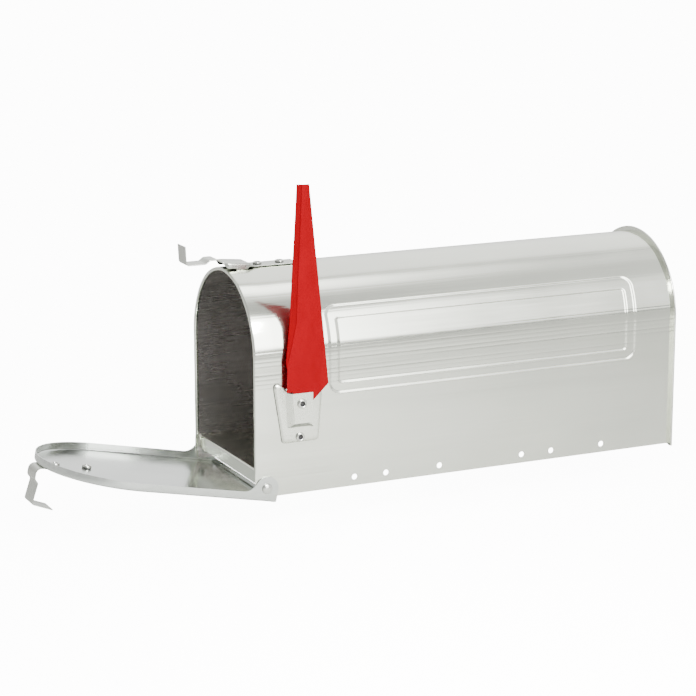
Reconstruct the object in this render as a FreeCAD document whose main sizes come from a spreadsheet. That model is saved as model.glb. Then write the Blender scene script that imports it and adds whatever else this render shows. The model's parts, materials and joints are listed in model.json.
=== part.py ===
"""Arched sheet-metal mailbox with a drop-down door, a carrier flag and a spring catch.

Frame: +Z up, +Y from the door to the back, +X to the side that carries the flag.
Origin: the middle of the floor pan's underside, where the box sits on its board.
The door is modelled shut, about its hinge line, and is placed in its open position.
"""
import FreeCAD, Part
import Sketcher
import math
import os
import re
from FreeCAD import Placement, Rotation, Vector

SIZES = {
    # body: a sheet bent into two straight skirts and a half-round arch
    "sheet": 0.8,
    "body_length": 480,
    "arch_radius": 80,
    "spring_height": 136,
    "floor_height": 25,
    "bead_diameter": 4,
    "bead_foot": 22,
    "seam_height": 5,
    # pressed panel in each side, measured from the front edge and the skirts' lower edge
    "panel_front": 80,
    "panel_rear": 433,
    "panel_foot": 97,
    "panel_head": 182.5,
    "panel_corner": 12,
    "panel_depth": 0.5,
    # screw holes along each skirt
    "screw_radius": 3,
    "screw_first": 107.5,
    "screw_short_gap": 35,
    "screw_mid_gap": 60.5,
    "screw_wide_gap": 95.5,
    # floor pan
    "pan_front": 4.6,
    "pan_lip": 13,
    "pan_flange": 11,
    "pan_flange_front": 22,
    # door and its hinge, which is also the height of the screw holes
    "hinge_setback": 12,
    "hinge_height": 9,
    "door_open_angle": 78.5,
    "door_gap": 0.6,
    "door_stand_off": 12.3,
    "door_flange": 8.5,
    "door_foot": 12,
    "door_stop": 3.9,
    "ear_radius": 12.2,
    "ear_blend": 14,
    "corner_radius": 12,
    # straps of the catch
    "strap": 1.2,
    "strap_width": 20,
    "catch_clearance": 6.4,
    "catch_bump": 3.4,
    "catch_fall": 2.6,
    "catch_reach": 41,
    "catch_lip": 19,
    "catch_lip_lean": 1,
    "catch_tail": 78,
    "catch_step": 31,
    "catch_step_run": 6,
    "catch_rivet_front": 38,
    "catch_rivet_rear": 62,
    "wing_span": 26.4,
    "wing_length": 24,
    "wing_gap": 0.9,
    "pull_height": 209.6,
    "pull_hump": 3.8,
    "pull_hump_depth": 11.5,
    "pull_neck": 3.5,
    "pull_reach": 50,
    "pull_lean": 2.6,
    "pull_lip": 22,
    "pull_lip_drop": 4,
    "pull_tail": 148,
    "pull_width": 24,
    "pull_rivet_low": 158,
    "pull_rivet_high": 191,
    # flag and its bracket
    "flag_sheet": 0.8,
    "flag_stand_off": 6.3,
    "flag_pivot_back": 46.9,
    "flag_pivot_height": 92.9,
    "flag_height": 215.5,
    "flag_heel": 9,
    "flag_heel_top": 12,
    "flag_toe_drop": 3,
    "flag_toe_back": 7,
    "flag_corner_front": 15.5,
    "flag_tip_front": 1.8,
    "flag_tip_back": 9,
    "flag_shoulder_back": 29,
    "flag_shoulder_height": 17.6,
    "fold_foot": 36,
    "fold_foot_front": 14.9,
    "fold_knee": 80,
    "fold_knee_front": 4.8,
    "fold_reach": 6.6,
    "fold_tip_reach": 5.2,
    "fold_angle": 35,
    "bracket_sheet": 0.8,
    "tray_rise": 3,
    "boss_rise": 8.2,
    "bracket_rivet_drop": 34.7,
    "boss_drop": 25,
    "boss_front": 15,
    "boss_back": 11.6,
    # rivets
    "pivot_shank": 2.5,
    "pivot_bore": 2.6,
    "pivot_head": 5,
    "small_shank": 2,
    "small_head": 4.2,
    "head_height": 2.4,
    "tail_height": 2.2,
    "tail_recess": 1.3,
    "washer_radius": 4.8,
    "spacer_radius": 4,
    "roof_drop": 0.15,
}

doc = FreeCAD.newDocument("mailbox")
sheet = doc.addObject("Spreadsheet::Sheet", "Sizes")
for row, (alias, number) in enumerate(SIZES.items(), start=1):
    sheet.set(f"A{row}", alias)
    sheet.set(f"B{row}", str(number))
    sheet.setAlias(f"B{row}", alias)
doc.recompute()

WORD = re.compile(r"[a-z_]+")
pieces = []

# places that several pieces share, as expressions in the sheet's sizes
FRONT = "-body_length / 2"
SKIRT = "-floor_height"
ARCH_AXIS = "spring_height - floor_height"
CROWN = "spring_height - floor_height + arch_radius"
HINGE_Y = "-body_length / 2 + hinge_setback"
HINGE_Z = "hinge_height - floor_height"
DOOR_AXIS = "spring_height - hinge_height"
DOOR_FACE = "-door_stand_off - sheet"
DOOR_INNER = "arch_radius + door_gap"
DOOR_OUTER = "arch_radius + door_gap + sheet"
CATCH_RIVETS = ("catch_rivet_front", "catch_rivet_rear")
PULL_RIVETS = ("pull_rivet_low", "pull_rivet_high")
FLAG_Y = "-body_length / 2 + flag_pivot_back"
FLAG_Z = "flag_pivot_height - floor_height"


def in_sheet(word):
    return "Sizes." + word if word in SIZES else word


def bind(item, prop, rule):
    """Drive a property by a rule written in the sheet's size names."""
    item.setExpression(prop, WORD.sub(lambda word: in_sheet(word.group(0)), rule))


def number(alias):
    """The value of one size in the sheet."""
    return float(sheet.get(alias))


def box(name, corner, length, width, height):
    """A block from its lowest corner, all as rules."""
    block = doc.addObject("Part::Box", name)
    for axis, rule in zip("xyz", corner):
        bind(block, "Placement.Base." + axis, rule)
    bind(block, "Length", length)
    bind(block, "Width", width)
    bind(block, "Height", height)
    return block


def rod(name, start, radius, length, direction):
    """A cylinder from its start point, along X or Y."""
    turn = Rotation(Vector(0, 0, 1), Vector(*direction))
    cylinder = doc.addObject("Part::Cylinder", name)
    cylinder.Placement = Placement(Vector(0, 0, 0), turn)
    for axis, rule in zip("xyz", start):
        bind(cylinder, "Placement.Base." + axis, rule)
    bind(cylinder, "Radius", radius)
    bind(cylinder, "Height", length)
    return cylinder


def fuse(name, shapes):
    joined = doc.addObject("Part::MultiFuse", name)
    joined.Shapes = shapes
    return joined


def cut(name, base, tool):
    trimmed = doc.addObject("Part::Cut", name)
    trimmed.Base = base
    trimmed.Tool = tool
    return trimmed


def common(name, first, second):
    shared = doc.addObject("Part::MultiCommon", name)
    shared.Shapes = [first, second]
    return shared


def arch(name, radius, start, length, foot, axis):
    """A solid arch: a half-round top on straight sides, lying along Y."""
    top = rod(name + "_top", ("0", start, axis), radius, length, (0, 1, 0))
    legs = box(name + "_legs", (f"-({radius})", start, foot),
               f"2 * ({radius})", length, f"{axis} - ({foot})")
    return fuse(name, [top, legs])


def arch_ring(name, outer, inner, start, length, foot, axis):
    """A band of an arch, open at the bottom."""
    outside = arch(name + "_outside", outer, start, length, foot, axis)
    inside = arch(name + "_inside", inner, f"{start} - 1", f"{length} + 2", f"{foot} - 1", axis)
    return cut(name, outside, inside)


def piece(item, label):
    """Name a finished sub-part; the name is also its file's name."""
    item.Label = label
    pieces.append(item)
    return item


def hang_on_door(item):
    """Put a piece modelled about the hinge line with the door shut into its open place."""
    item.Placement = Placement(Vector(0, 0, 0), Rotation(Vector(1, 0, 0), 1))
    bind(item, "Placement.Base.y", HINGE_Y)
    bind(item, "Placement.Base.z", HINGE_Z)
    bind(item, "Placement.Rotation.Angle", "door_open_angle")


def origin_plane(body, role):
    return next(plane for plane in body.Origin.OriginFeatures if plane.Role == role)


def disc(body, name, radius, level, height, kind="PartDesign::Pad"):
    """A round boss or recess on a body's own Z axis, from a level upwards."""
    sketch = body.newObject("Sketcher::SketchObject", name + "_sketch")
    sketch.AttachmentSupport = [(origin_plane(body, "XY_Plane"), "")]
    sketch.MapMode = "FlatFace"
    bind(sketch, "AttachmentOffset.Base.z", level)
    sketch.addGeometry(Part.Circle(Vector(0, 0, 0), Vector(0, 0, 1), 1.0), False)
    sketch.addConstraint(Sketcher.Constraint("Coincident", 0, 3, -1, 1))
    sketch.addConstraint(Sketcher.Constraint("Radius", 0, 1.0))
    sketch.renameConstraint(1, "radius")
    bind(sketch, "Constraints.radius", radius)
    feature = body.newObject(kind, name)
    feature.Profile = sketch
    feature.Reversed = kind == "PartDesign::Pocket"
    bind(feature, "Length", height)
    return feature


def rivet(label, place, direction, shank, head, grip):
    """A semi-tubular rivet: domed head outside, hollow rolled tail inside.

    Its own Z axis runs from the tail to the head, and its origin is under the head.
    """
    body = doc.addObject("PartDesign::Body", label)
    disc(body, label + "_shank", shank, f"-({grip})", grip)
    disc(body, label + "_head", head, "0", "head_height")
    disc(body, label + "_tail", f"({shank}) * 1.55", f"-({grip}) - tail_height", "tail_height")
    disc(body, label + "_recess", "tail_recess", f"-({grip}) - tail_height", "tail_height * 1.4",
         "PartDesign::Pocket")
    doc.recompute()
    blank = body.Tip
    rim = [f"Edge{index}" for index, edge in enumerate(blank.Shape.Edges, start=1)
           if edge.isClosed() and abs(edge.CenterOfMass.z - number("head_height")) < 0.01]
    dome = body.newObject("PartDesign::Fillet", label + "_dome")
    dome.Base = (blank, rim)
    bind(dome, "Radius", "head_height * 0.8")
    body.Placement = Placement(Vector(0, 0, 0), Rotation(Vector(0, 0, 1), Vector(*direction)))
    for axis, rule in zip("xyz", place):
        bind(body, "Placement.Base." + axis, rule)
    return piece(body, label)


def bent_run(points, radii):
    """A path in the YZ plane: straight runs joined by tangent arcs, a radius for each inner point."""
    edges = []
    last = Vector(0, *points[0])
    for index in range(1, len(points) - 1):
        corner = Vector(0, *points[index])
        back = (Vector(0, *points[index - 1]) - corner).normalize()
        ahead = (Vector(0, *points[index + 1]) - corner).normalize()
        half_turn = back.getAngle(ahead) / 2
        reach = radii[index - 1] / math.tan(half_turn)
        middle = (back + ahead).normalize()
        crest = corner + middle * (radii[index - 1] / math.sin(half_turn) - radii[index - 1])
        edges.append(Part.LineSegment(last, corner + back * reach).toShape())
        edges.append(Part.Arc(corner + back * reach, crest, corner + ahead * reach).toShape())
        last = corner + ahead * reach
    edges.append(Part.LineSegment(last, Vector(0, *points[-1])).toShape())
    return Part.Wire(edges)


def strap(points, radii, width, thickness):
    """A flat strap of constant thickness bent along the middle of its section."""
    path = bent_run(points, radii)
    start = Vector(0, *points[0])
    along = (Vector(0, *points[1]) - start).normalize()
    side = Vector(width / 2, 0, 0)
    up = along.cross(Vector(1, 0, 0)) * (thickness / 2)
    corners = [start + side + up, start - side + up, start - side - up, start + side - up]
    return path.makePipeShell([Part.makePolygon(corners + corners[:1])], True, False)


def yz_plate(points, start, end, grow=0):
    """A plate across X whose outline is given in YZ, grown or shrunk all round."""
    corners = [Vector(start, y, z) for y, z in points]
    face = Part.Face(Part.makePolygon(corners + corners[:1]))
    if grow:
        face = face.makeOffset2D(grow, 2)
    return face.extrude(Vector(end - start, 0, 0))


def drilled(shape, holes, radius, direction, depth=20):
    """Take round holes out of a shape, each through its own centre."""
    for centre in holes:
        shape = shape.cut(Part.makeCylinder(radius, depth, centre - direction * (depth / 2), direction))
    return shape


def feature(shape, label):
    """A sub-part whose shape is built directly from the sheet's numbers."""
    item = doc.addObject("Part::Feature", label)
    item.Shape = shape
    return piece(item, label)


# ---------------------------------------------------------------- body shell
def side_window(name, inset):
    """A round-cornered block through both sides, where the panels are pressed in."""
    block = box(name + "_block",
                ("-arch_radius - seam_height", f"{FRONT} + panel_front + {inset}",
                 f"{SKIRT} + panel_foot + {inset}"),
                "2 * (arch_radius + seam_height)",
                f"panel_rear - panel_front - 2 * {inset}",
                f"panel_head - panel_foot - 2 * {inset}")
    doc.recompute()
    upright = [(index, number("panel_corner"), number("panel_corner"))
               for index, edge in enumerate(block.Shape.Edges, start=1)
               if abs(edge.tangentAt(edge.FirstParameter).x) > 0.99]
    rounded = doc.addObject("Part::Fillet", name)
    rounded.Base = block
    rounded.Edges = upright
    return rounded


def body_shell():
    skin = arch_ring("skin", "arch_radius", "arch_radius - sheet", FRONT,
                     "body_length - sheet", SKIRT, ARCH_AXIS)
    proud = arch_ring("panel_skim", "arch_radius + 1", "arch_radius - panel_depth", FRONT,
                      "body_length", SKIRT, ARCH_AXIS)
    window = side_window("panel_window", "0")
    skimmed = cut("skin_skimmed", skin, common("panel_pressing", proud, window))
    sunk = arch_ring("panel_sheet", "arch_radius - panel_depth", "arch_radius - sheet - panel_depth",
                     FRONT, "body_length", SKIRT, ARCH_AXIS)
    panels = common("panels", sunk, window)
    flange = arch_ring("rear_flange", "arch_radius + seam_height - sheet", "arch_radius - sheet",
                       "body_length / 2 - 2 * sheet", "sheet", SKIRT, ARCH_AXIS)

    bead_arch = doc.addObject("Part::Torus", "bead_arch")
    bead_arch.Placement = Placement(Vector(0, 0, 0), Rotation(Vector(1, 0, 0), 90))
    bind(bead_arch, "Radius1", "arch_radius - bead_diameter / 2")
    bind(bead_arch, "Radius2", "bead_diameter / 2")
    bead_arch.Angle3 = 180
    bind(bead_arch, "Placement.Base.y", f"{FRONT} + bead_diameter / 2")
    bind(bead_arch, "Placement.Base.z", ARCH_AXIS)
    bead_legs = []
    for name, side in (("right", "1"), ("left", "-1")):
        bead_legs.append(rod(f"bead_{name}_leg",
                             (f"{side} * (arch_radius - bead_diameter / 2)",
                              f"{FRONT} + bead_diameter / 2", f"{SKIRT} + bead_foot"),
                             "bead_diameter / 2", "spring_height - bead_foot", (0, 0, 1)))

    hinge_corner = cut("corner_waste",
                       box("corner_block", ("-arch_radius - 1", f"{FRONT} - 1", f"{SKIRT} - 1"),
                           "2 * arch_radius + 2", "hinge_setback + 1", "hinge_height + 1"),
                       rod("corner_round", ("-arch_radius - 2", HINGE_Y, HINGE_Z),
                           "corner_radius", "2 * arch_radius + 4", (1, 0, 0)))

    tools = [hinge_corner]
    back = "screw_first"
    places = [back]
    for gap in ("screw_short_gap", "screw_mid_gap", "screw_wide_gap", "screw_short_gap", "screw_mid_gap"):
        back = f"{back} + {gap}"
        places.append(back)
    for index, place in enumerate(places, start=1):
        tools.append(rod(f"screw_hole_{index}", ("-arch_radius - 1", f"{FRONT} + {place}", HINGE_Z),
                         "screw_radius", "2 * arch_radius + 2", (1, 0, 0)))
    tools.append(rod("hinge_holes", ("-arch_radius - 1", HINGE_Y, HINGE_Z),
                     "pivot_shank", "2 * arch_radius + 2", (1, 0, 0)))
    tools.append(rod("flag_hole", ("arch_radius - 5", FLAG_Y, FLAG_Z), "pivot_shank", "10", (1, 0, 0)))
    tools.append(rod("bracket_hole", ("arch_radius - 5", FLAG_Y, f"{FLAG_Z} - bracket_rivet_drop"),
                     "small_shank", "10", (1, 0, 0)))
    for index, back in enumerate(CATCH_RIVETS, start=1):
        tools.append(rod(f"catch_hole_{index}", ("0", f"{FRONT} + {back}", f"{CROWN} - 5"),
                         "small_shank", "10", (0, 0, 1)))
    whole = fuse("shell_blank", [skimmed, panels, flange, bead_arch] + bead_legs)
    piece(cut("shell", whole, fuse("shell_tools", tools)), "body_shell")


# ---------------------------------------------------------------- floor and back
def floor_pan():
    width = "2 * (arch_radius - sheet)"
    length = "body_length - pan_front - sheet"
    deck = box("pan_deck", ("-arch_radius + sheet", f"{FRONT} + pan_front", "0"), width, length, "sheet")
    lip = box("pan_front_lip", ("-arch_radius + sheet", f"{FRONT} + pan_front", "-pan_lip"),
              width, "sheet", "pan_lip + sheet")
    sides = []
    for name, edge in (("right", "arch_radius - 2 * sheet"), ("left", "-arch_radius + sheet")):
        sides.append(box(f"pan_{name}_flange", (edge, f"{FRONT} + pan_flange_front", "-pan_flange"),
                         "sheet", "body_length - pan_flange_front - sheet", "pan_flange + sheet"))
    piece(fuse("pan", [deck, lip] + sides), "floor_pan")


def back_panel():
    """A flat back whose edge is folded over the shell's rear flange."""
    rim = "arch_radius + seam_height"
    plate = arch("back_plate", rim, "body_length / 2 - sheet", "sheet", SKIRT, ARCH_AXIS)
    wrap = arch_ring("back_wrap", rim, f"{rim} - sheet", "body_length / 2 - 3 * sheet", "3 * sheet",
                     SKIRT, ARCH_AXIS)
    lap = arch_ring("back_lap", rim, "arch_radius", "body_length / 2 - 3 * sheet", "sheet",
                    SKIRT, ARCH_AXIS)
    piece(fuse("back", [plate, wrap, lap]), "back_panel")


# ---------------------------------------------------------------- door
def door_panel():
    front = arch("door_plate", DOOR_OUTER, DOOR_FACE, "sheet", "-door_foot", DOOR_AXIS)
    rim = arch_ring("door_rim", DOOR_OUTER, DOOR_INNER, DOOR_FACE, "door_flange", "-door_foot", DOOR_AXIS)
    foot = box("door_foot_flange", (f"-({DOOR_OUTER})", DOOR_FACE, "-door_foot"),
               f"2 * ({DOOR_OUTER})", "door_stop + sheet", "sheet")
    parts = [front, rim, foot]
    reach = "ear_radius + ear_blend"
    edge = f"{DOOR_FACE} + door_flange"
    rise = f"sqrt(({reach}) ^ 2 - ({edge} + ear_blend) ^ 2)"
    for name, inner in (("right", DOOR_INNER), ("left", f"-({DOOR_OUTER})")):
        ear = rod(f"{name}_ear_disc", (inner, "0", "0"), "ear_radius", "sheet", (1, 0, 0))
        heel = box(f"{name}_ear_heel", (inner, DOOR_FACE, "-ear_radius"), "sheet", "-(%s)" % DOOR_FACE,
                   "ear_radius")
        web = cut(f"{name}_ear_web",
                  box(f"{name}_web_block", (inner, edge, "0"), "sheet",
                      f"({edge} + ear_blend) * ear_radius / ({reach}) - ({edge})", rise),
                  rod(f"{name}_web_round", (f"{inner} - 1", f"{edge} + ear_blend", rise),
                      "ear_blend", "sheet + 2", (1, 0, 0)))
        parts += [ear, heel, web]
    holes = [rod("ear_bores", (f"-({DOOR_OUTER}) - 1", "0", "0"), "pivot_bore",
                 f"2 * ({DOOR_OUTER}) + 2", (1, 0, 0))]
    for index, height in enumerate(PULL_RIVETS, start=1):
        holes.append(rod(f"pull_hole_{index}", ("0", f"{DOOR_FACE} - 1", height), "small_shank",
                         "sheet + 2", (0, 1, 0)))
    door = piece(cut("door", fuse("door_blank", parts), fuse("door_holes", holes)), "door_panel")
    hang_on_door(door)


def door_pull():
    """The strap on the door's face: a hump that the catch holds, an arm and a finger lip."""
    face = -number("door_stand_off") - number("sheet")
    middle = face - number("strap") / 2
    arm = number("pull_height")
    hump = arm + number("pull_hump")
    hump_end = middle - number("pull_hump_depth")
    reach = -number("pull_reach")
    arm_end = arm + number("pull_lean")
    points = [(middle, number("pull_tail")), (middle, hump), (hump_end, hump),
              (hump_end - number("pull_neck"), arm), (reach, arm_end),
              (reach - number("pull_lip_drop"), arm_end - number("pull_lip"))]
    shape = strap(points, [6, 3, 3, 3], number("pull_width"), number("strap"))
    centres = [Vector(0, middle, number(height)) for height in PULL_RIVETS]
    shape = drilled(shape, centres, number("small_shank"), Vector(0, 1, 0))
    hang_on_door(feature(shape, "door_pull"))


# ---------------------------------------------------------------- body catch
def body_catch():
    """The leaf on the roof: riveted tail, raised wings, a bump for the door's hump, a finger lip."""
    front = -number("body_length") / 2
    thickness = number("strap")
    half = thickness / 2
    crown = number("spring_height") - number("floor_height") + number("arch_radius")
    low = crown + half
    high = low + number("catch_clearance")
    brow = high - number("catch_fall")
    bump = high + number("catch_bump")
    step = front + number("catch_step")
    step_top = step - number("catch_step_run")
    bump_foot, bump_start, bump_end, bump_toe = (front - run for run in (3, 8, 16, 20.5))
    reach = front - number("catch_reach")
    points = [(front + number("catch_tail"), low), (step, low), (step_top, brow),
              (bump_foot, high), (bump_start, bump), (bump_end, bump), (bump_toe, high),
              (reach, high), (reach - number("catch_lip_lean"), high + number("catch_lip"))]
    shape = strap(points, [3, 3] + [2.5] * 5, number("strap_width"), thickness)

    def leaf(place):
        """The middle height of the sloping leaf between the bump and the step."""
        return high + (brow - high) * (place - bump_foot) / (step_top - bump_foot)

    span = number("wing_span")
    rear = front + number("wing_length")
    foot = crown + number("wing_gap")
    top = yz_plate([(front, leaf(front) - half), (rear, leaf(rear) - half),
                    (rear, leaf(rear) + half), (front, leaf(front) + half)], -span / 2, span / 2)
    shape = shape.fuse(top)
    wing = [(front - 2, leaf(front - 2) + half), (rear, leaf(rear) + half), (rear, foot), (front + 3, foot)]
    for side in (-span / 2, span / 2 - thickness):
        shape = shape.fuse(yz_plate(wing, side, side + thickness))
    shape = shape.removeSplitter()
    centres = [Vector(0, front + number(back), low) for back in CATCH_RIVETS]
    feature(drilled(shape, centres, number("small_shank"), Vector(0, 0, 1)), "body_catch")


# ---------------------------------------------------------------- flag and bracket
def flag_origin():
    return (-number("body_length") / 2 + number("flag_pivot_back"),
            number("flag_pivot_height") - number("floor_height"))


def flag():
    """A tapered blade turning on the bracket's upper rivet, with its front edge folded back."""
    pivot_y, pivot_z = flag_origin()
    inner = number("arch_radius") + number("flag_stand_off")
    outer = inner + number("flag_sheet")
    heel = number("flag_heel")
    heel_top = number("flag_heel_top")
    top = number("flag_height")
    foot, knee = number("fold_foot"), number("fold_knee")
    foot_front, knee_front = -number("fold_foot_front"), -number("fold_knee_front")
    tip_front = number("flag_tip_front")
    toe = -number("flag_toe_drop")
    shoulder = (number("flag_shoulder_back"), number("flag_shoulder_height"))
    outline = [(-heel, toe), (-heel, heel_top), (-number("flag_corner_front"), heel_top), (foot_front, foot),
               (knee_front, knee), (tip_front, top), (number("flag_tip_back"), top), shoulder,
               (number("flag_toe_back"), toe)]
    blade = yz_plate([(pivot_y + y, pivot_z + z) for y, z in outline], inner, outer)
    lobe = Part.makeCylinder(heel, outer - inner, Vector(inner, pivot_y, pivot_z), Vector(1, 0, 0))
    blade = blade.fuse(lobe)

    # the fold: a narrow strip along the front edge, turned in towards the box, which runs out at its foot
    angle = math.radians(number("fold_angle"))
    outward = Vector(-math.sin(angle), -math.cos(angle), 0)
    inward = Vector(-math.cos(angle), math.sin(angle), 0) * number("flag_sheet")
    sections = []
    for height, bend, reach in ((foot, foot_front, 0.6), (knee, knee_front, number("fold_reach")),
                                (top, tip_front, number("fold_tip_reach"))):
        root = Vector(outer, pivot_y + bend + 0.4, pivot_z + height)
        tip = root + outward * (reach + 0.4)
        sections.append(Part.makePolygon([root, tip, tip + inward, root + inward, root]))
    blade = blade.fuse(Part.makeLoft(sections, True, True)).removeSplitter()
    centres = [Vector(inner, pivot_y, pivot_z)]
    feature(drilled(blade, centres, number("pivot_bore"), Vector(1, 0, 0)), "flag")


def flag_bracket():
    """A pressed tray on the body's side, with a pocket open to the top and the rear for the flag."""
    pivot_y, pivot_z = flag_origin()
    side = number("arch_radius")
    skin = number("bracket_sheet")
    tray = side + number("tray_rise")
    boss = side + number("boss_rise")
    outline = [(-28, 20.5), (-18, -40), (21, -40), (24.5, 8), (12, 10), (-13, 11), (-22, 20.5)]
    outline = [(pivot_y + y, pivot_z + z) for y, z in outline]
    shape = yz_plate(outline, side, tray).cut(yz_plate(outline, side - 1, tray - skin, -skin))
    front = pivot_y - number("boss_front")
    back = pivot_y + number("boss_back")
    drop = pivot_z - number("boss_drop")
    taper = 2
    rise = 10
    pocket = [(front, pivot_z + rise), (front + taper, drop), (back, drop), (back, pivot_z + rise - skin)]
    room = [(front + skin, pivot_z + rise + taper), (front + taper + skin, drop + skin),
            (back + taper, drop + skin), (back + taper, pivot_z + rise + taper)]
    shape = shape.fuse(yz_plate(pocket, tray - skin, boss))
    shape = shape.cut(yz_plate(room, side - 1, boss - skin)).removeSplitter()
    for drop, radius in ((0, number("pivot_shank")), (number("bracket_rivet_drop"), number("small_shank"))):
        shape = drilled(shape, [Vector(side, pivot_y, pivot_z - drop)], radius, Vector(1, 0, 0))
    feature(shape, "flag_bracket")


# ---------------------------------------------------------------- rivets and washers
def rivets():
    for name, side in (("right", 1), ("left", -1)):
        sign = "" if side > 0 else "-"
        rivet(f"hinge_rivet_{name}", (f"{sign}({DOOR_OUTER} + 0.3)", HINGE_Y, HINGE_Z), (side, 0, 0),
              "pivot_shank", "pivot_head", "door_gap + 4 * sheet - 0.5")
        inner = "arch_radius - 2 * sheet" if side > 0 else "-arch_radius + sheet"
        ring = rod(f"washer_{name}_ring", (inner, HINGE_Y, HINGE_Z), "washer_radius", "sheet", (1, 0, 0))
        hole = rod(f"washer_{name}_hole", (f"{inner} - 1", HINGE_Y, HINGE_Z), "pivot_shank", "sheet + 2",
                   (1, 0, 0))
        piece(cut(f"washer_{name}", ring, hole), f"hinge_washer_{name}")
    rivet("flag_pivot_rivet", ("arch_radius + boss_rise", FLAG_Y, FLAG_Z), (1, 0, 0),
          "pivot_shank", "pivot_head - 0.5", "boss_rise + sheet")
    sleeve = rod("sleeve_tube", ("arch_radius", FLAG_Y, FLAG_Z), "spacer_radius", "flag_stand_off - 0.3",
                 (1, 0, 0))
    bore = rod("sleeve_bore", ("arch_radius - 1", FLAG_Y, FLAG_Z), "pivot_shank", "flag_stand_off + 2",
               (1, 0, 0))
    piece(cut("sleeve", sleeve, bore), "flag_spacer")
    rivet("bracket_rivet", ("arch_radius + tray_rise", FLAG_Y, f"{FLAG_Z} - bracket_rivet_drop"), (1, 0, 0),
          "small_shank", "small_head", "tray_rise + sheet")
    for name, back in zip(("front", "rear"), CATCH_RIVETS):
        rivet(f"catch_rivet_{name}", ("0", f"{FRONT} + {back}", f"{CROWN} + strap"), (0, 0, 1),
              "small_shank", "small_head", "strap + sheet + roof_drop")
    for name, height in zip(("low", "high"), PULL_RIVETS):
        outer = f"({DOOR_FACE} - strap)"
        place = ("0",
                 f"{HINGE_Y} + {outer} * cos(door_open_angle) - {height} * sin(door_open_angle)",
                 f"{HINGE_Z} + {outer} * sin(door_open_angle) + {height} * cos(door_open_angle)")
        body = rivet(f"pull_rivet_{name}", place, (0, -1, 0), "small_shank", "small_head", "strap + sheet")
        body.Placement = Placement(Vector(0, 0, 0), Rotation(Vector(1, 0, 0), 90))
        bind(body, "Placement.Rotation.Angle", "door_open_angle + 90")


# ---------------------------------------------------------------- build, check and write
body_shell()
floor_pan()
back_panel()
door_panel()
door_pull()
body_catch()
flag()
flag_bracket()
rivets()
doc.recompute()

faults = [item.Name for item in doc.Objects if {"Invalid", "Error"} & set(item.State)]
faults += [item.Label for item in pieces if item.Shape.isNull() or not item.Shape.isValid()]
if faults:
    raise RuntimeError("these objects failed: " + ", ".join(faults))

os.makedirs("parts", exist_ok=True)
for item in pieces:
    item.Shape.exportStep(f"parts/{item.Label}.step")
    box_of = item.Shape.BoundBox
    print(f"{item.Label:20s} solids {len(item.Shape.Solids)}  volume {item.Shape.Volume / 1000:9.3f} cm3"
          f"  x {box_of.XMin:.1f}..{box_of.XMax:.1f}  y {box_of.YMin:.1f}..{box_of.YMax:.1f}"
          f"  z {box_of.ZMin:.1f}..{box_of.ZMax:.1f}")
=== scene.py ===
"""Looks of an arched sheet-metal mailbox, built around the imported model."""
import json
import math

import bmesh
import bpy
import numpy as np
from mathutils import Matrix, Vector


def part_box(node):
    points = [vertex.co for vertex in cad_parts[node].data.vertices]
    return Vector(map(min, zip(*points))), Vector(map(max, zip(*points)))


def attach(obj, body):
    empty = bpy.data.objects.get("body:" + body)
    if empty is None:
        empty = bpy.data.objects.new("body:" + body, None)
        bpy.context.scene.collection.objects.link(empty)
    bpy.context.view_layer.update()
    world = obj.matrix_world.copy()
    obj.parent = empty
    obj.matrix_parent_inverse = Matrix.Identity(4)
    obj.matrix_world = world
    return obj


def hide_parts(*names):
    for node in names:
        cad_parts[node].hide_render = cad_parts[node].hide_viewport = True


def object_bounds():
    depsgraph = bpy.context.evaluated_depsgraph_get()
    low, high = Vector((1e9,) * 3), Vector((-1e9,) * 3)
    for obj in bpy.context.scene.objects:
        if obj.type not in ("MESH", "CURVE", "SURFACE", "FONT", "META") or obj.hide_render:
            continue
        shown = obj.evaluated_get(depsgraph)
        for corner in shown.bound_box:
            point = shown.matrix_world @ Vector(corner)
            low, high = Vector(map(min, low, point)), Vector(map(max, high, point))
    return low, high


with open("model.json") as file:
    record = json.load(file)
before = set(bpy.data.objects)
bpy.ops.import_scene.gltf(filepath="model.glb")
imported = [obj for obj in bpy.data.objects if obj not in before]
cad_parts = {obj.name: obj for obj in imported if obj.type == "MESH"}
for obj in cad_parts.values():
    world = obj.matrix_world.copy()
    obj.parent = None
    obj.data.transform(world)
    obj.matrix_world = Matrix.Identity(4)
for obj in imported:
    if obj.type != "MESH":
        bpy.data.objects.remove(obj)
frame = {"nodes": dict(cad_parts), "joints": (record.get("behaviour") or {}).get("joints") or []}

cad_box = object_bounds()

MM = 0.001
joints = {joint["name"]: joint for joint in frame["joints"]}

# places, from the frame
HINGE = Vector(joints["door_hinge"]["pos_m"])
OPEN_ANGLE = math.radians(joints["door_hinge"]["range_deg"][1])
PIVOT = Vector(joints["flag_pivot"]["pos_m"])
SHEET = 0.8 * MM
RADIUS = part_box("floor_pan")[1].x + SHEET
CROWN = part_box("body_catch")[0].z
AXIS = CROWN - RADIUS
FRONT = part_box("body_shell")[0].y
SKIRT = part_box("body_shell")[0].z
SEAM_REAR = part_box("back_panel")[1].y
SEAM_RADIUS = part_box("back_panel")[1].x
DOOR_TURN = Matrix.Rotation(OPEN_ANGLE, 4, "X")
DOOR_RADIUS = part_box("door_panel")[1].x
DOOR_AXIS = AXIS - HINGE.z
STRAP = 1.2 * MM
STRAP_WIDTH = 20 * MM
PIN_BORE = 2.6 * MM
ROUND_X = (1, 0, 0)

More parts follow.
